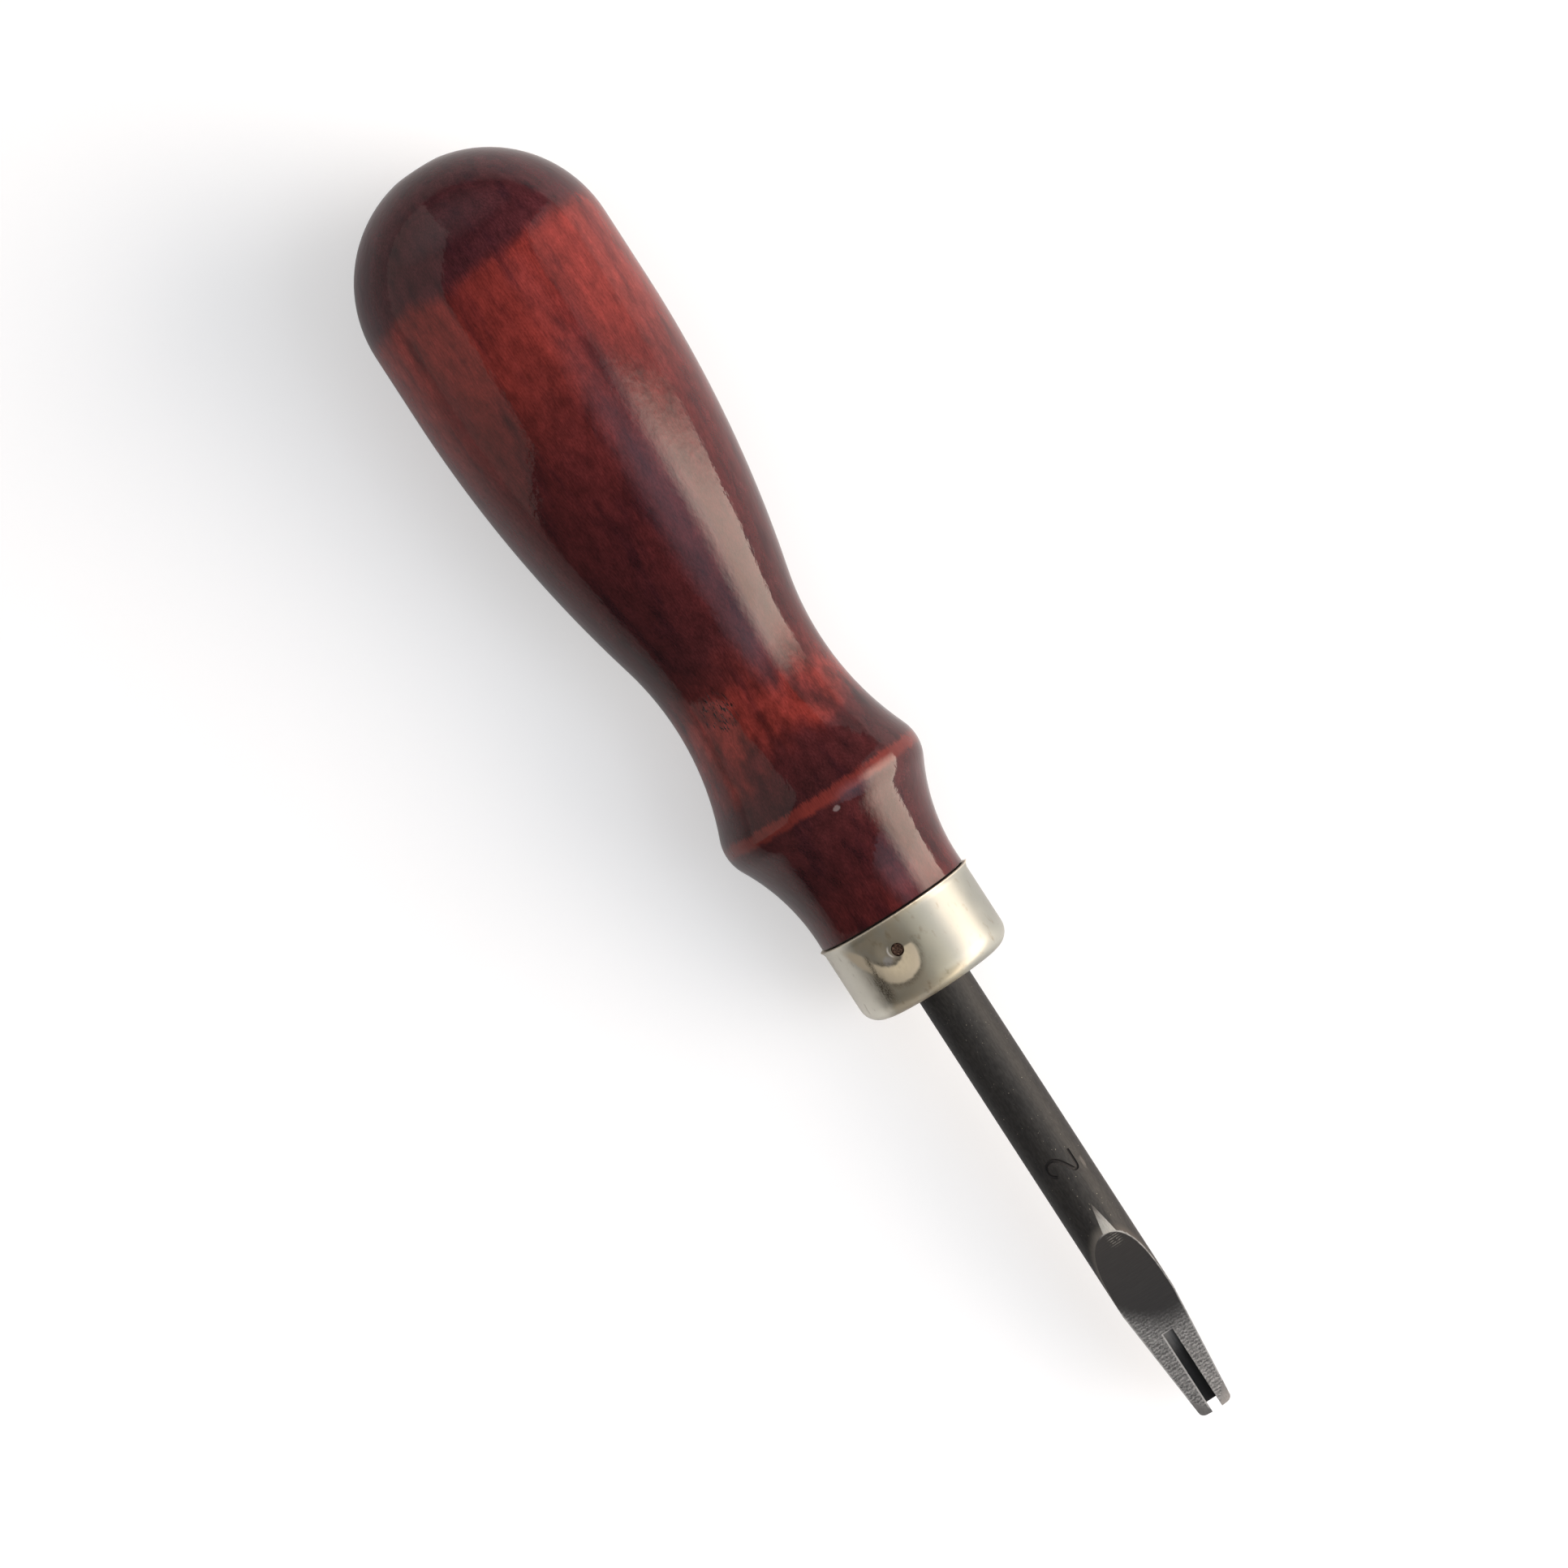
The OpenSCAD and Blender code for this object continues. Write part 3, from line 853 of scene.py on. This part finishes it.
def tang(name, grow):
    """The square tapered tang, grown all round; its root reaches into the shank."""
    taper = (tang_w - tang_end_w) / 2 / (ferrule_end_s - tang_end_s)
    root_s = ferrule_end_s + tang_root_l
    end_r = (tang_end_w / 2 + grow) * math.sqrt(2)
    root_r = (tang_w / 2 + grow + taper * tang_root_l) * math.sqrt(2)
    let_go()
    bpy.ops.mesh.primitive_cone_add(vertices=4, radius1=end_r, radius2=root_r, depth=root_s - tang_end_s)
    piece = added(name)
    lengthways = Matrix.Rotation(math.pi / 2, 4, "Y") @ Matrix.Rotation(math.pi / 4, 4, "Z")
    return moved(piece, Matrix.Translation(((root_s + tang_end_s) / 2, 0, 0)) @ lengthways)


handle_outline = joined(
    [(0, 0), (0, butt_ring_r)],
    arc(dome_s, 0, bulb_r, 0, dome_s, outer, 22),
    line((dome_s, bulb_r), (swell_s, bulb_r), 5),
    arc(swell_s, bulb_r - swell_arc_r, swell_arc_r, swell_s, waist_from_s, outer, 24),
    arc(waist_s, waist_r + waist_arc_r, waist_arc_r, waist_from_s, ridge_from_s, inner, 18),
    arc(ridge_s, ridge_r - ridge_round_r, ridge_round_r, ridge_from_s, cove_from_s, outer, 12),
    arc(neck_s, neck_r + cove_arc_r, cove_arc_r, cove_from_s, shoulder_s - shoulder_break_l, inner, 14),
    [(shoulder_s, neck_r - shoulder_break_r), (shoulder_s, tenon_r)],
    [(tenon_end_s - tenon_chamfer, tenon_r), (tenon_end_s, tenon_r - tenon_chamfer)],
    [(tenon_end_s, tenon_ring_r), (tenon_end_s, 0)],
)
handle = turned("turned_handle", handle_outline, steps=160)
finished(handle, wood)
carve(handle, tang("tang_socket", socket_gap))
smoothed(handle, degrees=25)
set_down(handle, "handle")


# Ferrule and brad

def on_ring(s, turn, height):
    """A point at a height above the axis, turned to the left from straight up."""
    return Vector((s, -height * math.sin(turn), height * math.cos(turn)))


def at_dent(height):
    """A point on the line square to the ferrule through the dent, at a height above the axis."""
    return on_ring(dent_s, dent_turn, height)


def pulled(piece, start, end, reach):
    """Moves the vertex nearest to one point towards another, and those within reach less and less."""
    near = min(piece.data.vertices, key=lambda vertex: (vertex.co - start).length).co.copy()
    pick(piece, "VERT", lambda vertex: (vertex.co - near).length < same_point)
    bpy.ops.transform.translate(
        value=end - start, use_proportional_edit=True,
        proportional_edit_falloff="SMOOTH", proportional_size=reach
    )
    let_go()


ferrule_in_r = ferrule_r - ferrule_wall
ferrule_floor_s = ferrule_end_s - ferrule_wall
corner_s = ferrule_end_s - ferrule_corner_r
corner_from_r = ferrule_r - ferrule_corner_r
corner_in_r = ferrule_corner_r - ferrule_wall
lip_s = rim_s + lip_l
lip_r = ferrule_r + lip_flare
ferrule_outline = joined(
    line((ferrule_end_s, ferrule_hole_r), (ferrule_end_s, corner_from_r), 4),
    reversed(arc(corner_s, corner_from_r, ferrule_corner_r, corner_s, ferrule_end_s, outer, 8)),
    line((corner_s, ferrule_r), (lip_s, ferrule_r), 28),
    [(lip_s - lip_bend_l, ferrule_r + lip_bend_r), (rim_s + rim_round_l, lip_r)],
    [(rim_s, lip_r - rim_round_r), (rim_s, ferrule_in_r + lip_flare)],
    [(lip_s - lip_bend_l, ferrule_in_r + lip_bend_r)],
    line((lip_s, ferrule_in_r), (corner_s, ferrule_in_r), 28),
    arc(corner_s, corner_from_r, corner_in_r, corner_s, ferrule_floor_s, outer, 8),
    line((ferrule_floor_s, corner_from_r), (ferrule_floor_s, ferrule_hole_r), 4),
    [(ferrule_end_s, ferrule_hole_r)],
)
ferrule = turned("pressed_ferrule", ferrule_outline, steps=200)
finished(ferrule, nickel)
pulled(ferrule, at_dent(ferrule_r), at_dent(ferrule_r - dent_depth), dent_reach)
dimple_from = on_ring(dimple_s, dimple_turn, ferrule_r)
dimple_to = on_ring(dimple_s, dimple_turn, ferrule_r - dimple_depth)
pulled(ferrule, dimple_from, dimple_to, dimple_reach)
burr_from = on_ring(rim_s, burr_turn, lip_r)
burr_to = on_ring(rim_s - burr_l, burr_turn, lip_r + burr_l)
pulled(ferrule, burr_from, burr_to, burr_reach)
brad_hole = bar("brad_hole", brad_hole_r, brad_hole_l, at_dent(ferrule_r), (dent_turn, 0, 0), sides=48)
carve(ferrule, finished(brad_hole, rust))
smoothed(ferrule, degrees=40)
set_down(ferrule, "ferrule")

brad_outline = [
    (0, 0), (brad_point_l, brad_r), (brad_mid_s, brad_r),
    (brad_l - brad_chamfer, brad_r), (brad_l, brad_r - brad_chamfer),
    (brad_l, brad_ring_r), (brad_l - brad_ring_depth, brad_ring_floor_r),
    (brad_l - brad_ring_depth, brad_knob_floor_r), (brad_l, brad_knob_r), (brad_l, 0),
]
brad = turned("set_brad", brad_outline, steps=40)
finished(brad, rust)
smoothed(brad, degrees=35)
brad_top = ferrule_r - dent_depth - brad_sunk
upright = Matrix.Rotation(dent_turn, 4, "X") @ Matrix.Rotation(-math.pi / 2, 4, "Y")
moved(brad, Matrix.Translation(at_dent(brad_top - brad_l)) @ upright)
set_down(brad, "ferrule_brad")


# Blade

shank_l = tip_s - ferrule_end_s
shank_middle = ((tip_s + ferrule_end_s) / 2, 0, 0)
blade = bar("forked_blade", shank_r, shank_l, shank_middle, (0, math.pi / 2, 0), sides=128)
finished(blade, oxide)

bpy.ops.object.mode_set(mode="EDIT")
for side in (1, -1):
    bpy.ops.mesh.select_all(action="SELECT")
    bpy.ops.mesh.bisect(
        plane_co=(fork_s, side * shank_r, 0), plane_no=(fork_slope, side, 0),
        use_fill=True, clear_outer=True
    )
let_go()

past_tip_s = tip_s + cutter_past
scoop = roller("scoop", scoop_r, scoop_s, flat_h - scoop_dip + scoop_r, 2 * cutter_reach, sides=360)
carve(blade, finished(scoop, ground))
flat = box("flat", (scoop_s, -cutter_reach, flat_h), (past_tip_s, cutter_reach, cutter_reach))
carve(blade, finished(flat, ground))

facet = box("facet", (0, -shank_r, -cutter_past), (facet_l + cutter_past, shank_r, cutter_past))
facet_roller_w = 2 * (shank_r + cutter_past)
carve(facet, roller("facet_round", facet_round_r, 0, -facet_round_r, facet_roller_w, sides=2880))
roll = Matrix.Rotation(-facet_roll, 4, "X") @ Matrix.Translation((0, 0, shank_r))
moved(facet, Matrix.Translation((facet_s, 0, 0)) @ roll)
carve(blade, finished(facet, rubbed_and_sheen))

sole = box("sole", (sole_s, -cutter_reach, cutter_low), (past_tip_s, cutter_reach, flat_h))
carve(sole, roller("sole_round", sole_r, sole_s, sole_low + sole_r, sole_roller_w, sides=1440))
carve(blade, finished(sole, oxide))


def outer_corner(edge):
    """An upright edge at the end of a toe."""
    hair = 0.01
    one, other = [vertex.co for vertex in edge.verts]
    at_end = min(one.x, other.x) > tip_s - hair
    return at_end and abs(one.y - other.y) < hair and abs(one.y) > fork_w / 2 - hair


pick(blade, "EDGE", outer_corner)
bpy.ops.mesh.bevel(offset=toe_round_r, segments=8, affect="EDGES")
let_go()

floor_h = flat_h - slot_depth
floor_slope = (floor_h - edge_h) / (edge_s - slot_s)
slot = box("slot", (slot_s, -slot_w / 2, floor_h), (edge_s + slot_past_l, slot_w / 2, cutter_reach))
pick(slot, "VERT", lambda vertex: vertex.co.x > edge_s and vertex.co.z < flat_h)
bpy.ops.transform.translate(value=(0, 0, edge_h - floor_h - slot_past_l * floor_slope))
carve(blade, finished(slot, milled))
way = box("way_through", (edge_s, -slot_w / 2, cutter_low), (past_tip_s, slot_w / 2, cutter_reach))
carve(blade, finished(way, milled))

for side in (1, -1):
    toe = box("toe_bevel", (0, -cutter_reach, 0), (cutter_reach, cutter_reach, cutter_reach / 2))
    corner = (tip_s - toe_bevel_l, side * (fork_w / 2 + fork_slope * toe_bevel_l), flat_h)
    turn = Matrix.Rotation(side * toe_bevel_turn, 4, "Z") @ Matrix.Rotation(toe_bevel_tilt, 4, "Y")
    moved(toe, Matrix.Translation(corner) @ turn)
    carve(blade, finished(toe, honed))

carve(blade, finished(tang("tang", 0), oxide), "UNION")

# The size number, cut as a round-bottomed stroke
digit_points = [
    (-1.08, 1.63), (-0.2, 1.63), (0.72, 1.63), (1.05, 1.55), (1.05, 1.2), (0.6, 0.98), (0.0, 0.62),
    (-0.6, 0.2), (-0.95, -0.3), (-0.92, -0.9), (-0.5, -1.32), (0.15, -1.38), (0.6, -1.15), (0.82, -0.72),
]
let_go()
bpy.ops.curve.primitive_nurbs_path_add()
digit = added("size_number")
path = digit.data.splines[0]
path.points.add(len(digit_points) - len(path.points))
for point, (along, across) in zip(path.points, digit_points):
    side = digit_y + across
    point.co = (digit_s + along, side, math.sqrt(shank_r ** 2 - side ** 2) + digit_lift, 1)
path.order_u = 3
path.use_endpoint_u = True
digit.data.resolution_u = 6
digit.data.bevel_depth = digit_stroke_r
digit.data.bevel_resolution = 3
digit.data.use_fill_caps = True
bpy.ops.object.convert(target="MESH")
digit = settled(bpy.context.object)
solid = digit.modifiers.new("solid", "REMESH")
solid.mode = "VOXEL"
solid.voxel_size = digit_voxel
bpy.ops.object.modifier_apply(modifier=solid.name)
carve(blade, finished(digit, stamped))
smoothed(blade, degrees=30)
set_down(blade, "blade")


# Bench, light and camera, placed by the picture's right and up directions

bench_w = 6
photo_turn = math.radians(57.1)
camera_place = (-0.0028, -0.0025, 0.48)
camera_angle = math.radians(19.06)
room_grey = (0.09, 0.09, 0.09, 1)


def in_picture(right, up, height):
    """A place on the bench or above it, from the middle to the picture's right and up."""
    return Matrix.Rotation(photo_turn, 4, "Z") @ Vector((right, up, height))


def lamp(name, place, target, size, radiance, colour=(1, 1, 1), spread=180, in_gloss=True):
    """A rectangular lamp that faces a target, with its radiance straight ahead.

    A spread below 180 degrees dims its edges, as the cloth of a softbox does."""
    half_spread = math.radians(spread) / 2
    gain = 1.0
    if spread < 180:
        gain = 2 * (1 - half_spread / math.tan(half_spread))
    let_go()
    bpy.ops.object.light_add(type="AREA", location=place)
    new = added(name)
    new.rotation_euler = (place - target).to_track_quat("Z", "Y").to_euler()
    new.data.shape = "RECTANGLE"
    new.data.size = size[0]
    new.data.size_y = size[1]
    new.data.spread = 2 * half_spread
    new.data.energy = radiance * gain * math.pi * size[0] * size[1]
    new.data.color = colour
    new.visible_glossy = in_gloss
    new.visible_camera = False
    return new


def curtained(screen, side, top, lean=0.0):
    """Dims a lamp between two shares of its width, and between two shares of its height.

    With a lean, its upper edge is lower towards its bright side."""
    screen.data.use_nodes = True
    tree = screen.data.node_tree
    parts = measures(tree, add(tree, "ShaderNodeNewGeometry", {}).outputs["Parametric"])
    height = swayed(tree, parts[1], (calc(tree, "SUBTRACT", parts[0], side[0]), -lean))
    bright = times(tree, fall(tree, parts[0], side[0], side[1]), fall(tree, height, top[0], top[1]))
    plug(tree, tree.nodes["Emission"], {"Strength": bright})


def bench_top():
    """A plain pale bench, lifted to white where it is looked at; its shadow stays.

    In light that it sends back, it fades away from the window: painted shade for the window's light
    falling off."""
    seen_lift = 0.42
    mirrored_lift = 0.03
    seen_grey = (0.61, 0.62, 0.63, 1)
    window_foot = in_picture(0.30, 0, 0)
    finish, tree, shader = new_finish("bench_top")
    rays = add(tree, "ShaderNodeLightPath", {})
    seen = rays.outputs["Is Camera Ray"]
    mirrored = most(tree, rays.outputs["Is Glossy Ray"], rays.outputs["Is Transmission Ray"])
    lift = swayed(tree, times(tree, mirrored, mirrored_lift), (seen, seen_lift))
    sockets = {0: add(tree, "ShaderNodeTexCoord", {}).outputs["Object"], 1: window_foot}
    apart = add(tree, "ShaderNodeVectorMath", sockets, operation="DISTANCE").outputs["Value"]
    fade = rise(tree, apart, 0.26, 0.42, 0.74, 0.32)
    plug(tree, shader, {
        "Base Color": blend(tree, seen, fade, seen_grey), "Roughness": 0.9, "Specular IOR Level": 0.0,
        "Emission Color": (1, 1, 1, 1), "Emission Strength": lift,
    })
    return finish


let_go()
bpy.ops.mesh.primitive_plane_add(size=bench_w)
bench = added("bench")
finished(bench, bench_top())

# Light on the tool that doesn't show in its gloss
lamp(
    "key", in_picture(0.54, 0.03, 0.60), in_picture(0, 0, 0),
    size=(0.65, 0.65), radiance=1.6, in_gloss=False
)
lamp(
    "overhead", in_picture(0, 0, 1), in_picture(0, 0, 0),
    size=(1, 1), radiance=1.1, colour=(0.97, 0.98, 1), in_gloss=False
)
lamp(
    "window_light", in_picture(0.509, -0.027, 0.28), in_picture(0.027, -0.0015, 0.17),
    size=(1.0, 0.58), radiance=5.4, colour=(1, 0.86, 0.75), spread=78, in_gloss=False
)

# What the gloss shows
window = lamp(
    "window", in_picture(0.25, -0.1175, 0.181), in_picture(0, -0.1175, 0.181),
    size=(0.665, 0.36), radiance=6.6, colour=(1, 0.82, 0.68)
)
window.visible_diffuse = False
curtained(window, side=(0.815, 0.99), top=(0.40, 0.92), lean=1.15)
scrim = lamp(
    "upper_scrim", in_picture(0.452, 0.085, 0.77), in_picture(-0.078, -0.015, 0.061),
    size=(0.8, 1.0), radiance=0.70, colour=(0.72, 0.82, 1), spread=76
)
curtained(scrim, side=(0.38, 1.0), top=(0.55, 1.0))
lamp(
    "left_wall", in_picture(-0.50, 0.11, 0.32), in_picture(0, 0.11, 0.32),
    size=(0.98, 0.64), radiance=0.48, colour=(1, 0.84, 0.77)
)
right_wall = lamp(
    "right_wall", in_picture(0.50, 0.45, 0.33), in_picture(0, 0.45, 0.33),
    size=(0.7, 0.66), radiance=0.45, colour=(1, 0.95, 0.94)
)
right_wall.visible_diffuse = False
far_wall = lamp(
    "far_wall", in_picture(-0.45, 0.69, 0.5), in_picture(-0.04, 0.06, 0.5),
    size=(1.6, 1.0), radiance=0.33, colour=(0.95, 0.95, 1), spread=105
)
curtained(far_wall, side=(1.0, 1.1), top=(0.6, 0.0))

world = bpy.data.worlds.new("room")
bpy.context.scene.world = world
world.use_nodes = True
world.node_tree.nodes["Background"].inputs["Color"].default_value = room_grey
bpy.context.scene.view_settings.view_transform = "Standard"

let_go()
bpy.ops.object.camera_add(location=camera_place, rotation=(0, 0, photo_turn))
camera = added("camera")
camera.data.angle = camera_angle
camera.data.clip_start = 0.01
bpy.context.scene.camera = camera

let_go()
